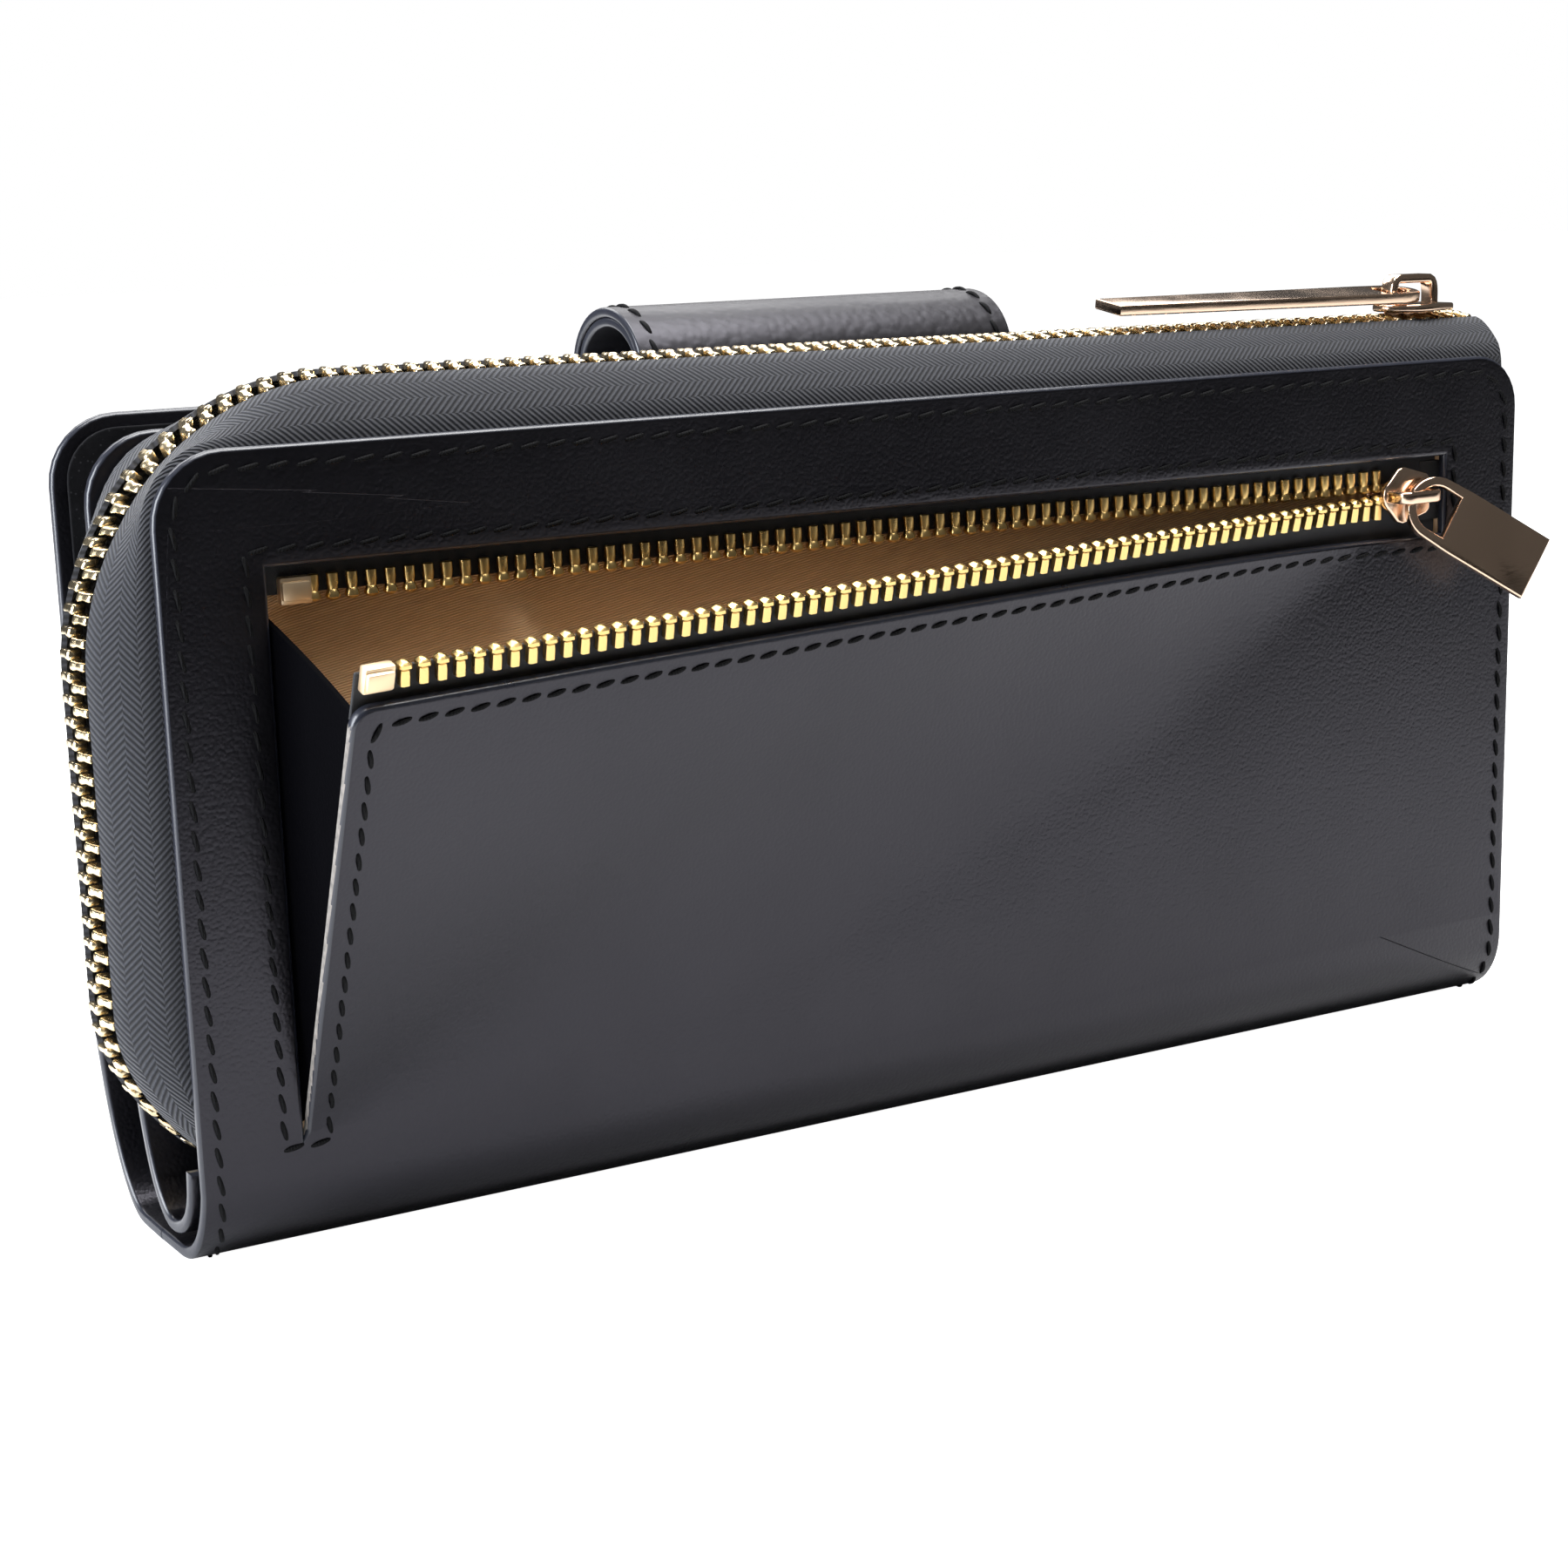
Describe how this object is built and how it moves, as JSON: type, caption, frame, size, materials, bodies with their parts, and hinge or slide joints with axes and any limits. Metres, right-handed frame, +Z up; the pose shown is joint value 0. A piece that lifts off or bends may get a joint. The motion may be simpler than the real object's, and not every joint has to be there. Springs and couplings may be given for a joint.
{
  "type": "zip around wallet",
  "caption": "Long black leather wallet with an L-shaped main zip, a zipped coin pocket on the back, a card fold and a snap tab.",
  "frame": {"origin": "middle of the flat strip of spine that the wallet stands on", "axes": "+X along the wallet towards the closed end of the zips, -Y the back with the coin pocket, +Z up"},
  "size_m": [0.1976, 0.0552, 0.1018],
  "materials": {
    "black_leather": "smooth semi-gloss calf leather, fine grain, painted edges",
    "black_suede": "napped suede-like lining",
    "gold_twill": "fine twill lining",
    "black_zip_tape": "herringbone woven tape",
    "gold_teeth": "polished",
    "rose_gold": "polished light gold plating",
    "fibre_board": "pressed fibre board",
    "magnet_steel": "satin"
  },
  "bodies": {
    "divider": {"divider_panel": "black_leather", "outer_spine": "black_leather", "inner_spine": "black_leather", "divider_card_pocket_1": "black_leather", "divider_card_pocket_2": "black_leather", "divider_card_pocket_3": "black_leather", "note_partition": "black_suede", "side_gusset": "black_leather", "zip_chain_far": "gold_teeth", "zip_tape_far": "black_zip_tape", "tab_anchor": "black_leather"},
    "back_half": {"back_panel": "black_leather", "back_lining": "black_suede", "coin_bag": "gold_twill", "coin_tape_upper": "black_zip_tape", "coin_chain_upper": "gold_teeth", "coin_stop_upper": "gold_teeth", "coin_gusset": "black_leather", "zip_chain_near": "gold_teeth", "zip_tape_near": "black_zip_tape"},
    "coin_flap": {"coin_flap": "black_leather", "coin_flap_lining": "gold_twill", "coin_tape_lower": "black_zip_tape", "coin_chain_lower": "gold_teeth", "coin_stop_lower": "gold_teeth"},
    "coin_slider": {"coin_slider": "rose_gold"},
    "coin_puller": {"coin_puller": "rose_gold"},
    "main_slider": {"main_slider": "rose_gold"},
    "main_puller": {"main_puller": "rose_gold"},
    "cover_half": {"front_cover": "black_leather", "cover_board": "fibre_board", "cover_lining": "black_suede", "cover_card_pocket_1": "black_leather", "cover_card_pocket_2": "black_leather", "cover_magnet": "magnet_steel"},
    "tab": {"tab_strap": "black_leather"}
  },
  "joints": [
    {"name": "compartment_open", "type": "hinge", "parent": "divider", "child": "back_half", "pos_m": [0, -0.009, 0.007], "axis": [1, 0, 0], "range_deg": [0, 25], "deforming": ["inner_spine", "outer_spine", "side_gusset"]},
    {"name": "main_slider_run", "type": "slide", "parent": "divider", "child": "main_slider", "axis": [1, 0, -0.009], "range_m": [-0.146, 0]},
    {"name": "main_puller_swing", "type": "hinge", "parent": "main_slider", "child": "main_puller", "pos_m": [0.08483, -0.005, 0.09874], "axis": [0.0013, 0.9903, 0.1392], "range_deg": [0, 165]},
    {"name": "coin_flap_open", "type": "hinge", "parent": "back_half", "child": "coin_flap", "pos_m": [-0.083, -0.0155, 0.014], "axis": [0.9394, 0, 0.3427], "range_deg": [-22.5, 0], "deforming": ["coin_flap", "coin_gusset", "coin_tape_lower", "coin_chain_lower"]},
    {"name": "coin_slider_run", "type": "slide", "parent": "back_half", "child": "coin_slider", "axis": [1, 0, 0], "range_m": [-0.148, 0]},
    {"name": "coin_puller_swing", "type": "hinge", "parent": "coin_slider", "child": "coin_puller", "pos_m": [0.0752, -0.01738, 0.0729], "axis": [-0.5446, 0, -0.8387], "range_deg": [0, 150]},
    {"name": "front_cover_open", "type": "hinge", "parent": "divider", "child": "cover_half", "pos_m": [0, 0.0158, 0.0241], "axis": [-1, 0, 0], "range_deg": [0, 100], "deforming": ["outer_spine"]},
    {"name": "tab_swing", "type": "hinge", "parent": "divider", "child": "tab", "pos_m": [0, 0.009, 0.099], "axis": [1, 0, 0], "range_deg": [0, 170], "deforming": ["tab_strap"]}
  ],
  "couplings": [
    {"joint": "main_slider_run", "follows": "compartment_open", "m_per_rad": -0.3346},
    {"joint": "coin_slider_run", "follows": "coin_flap_open", "m_per_rad": 0.3768},
    {"joint": "tab_swing", "follows": "front_cover_open", "ratio": 1.7}
  ]
}
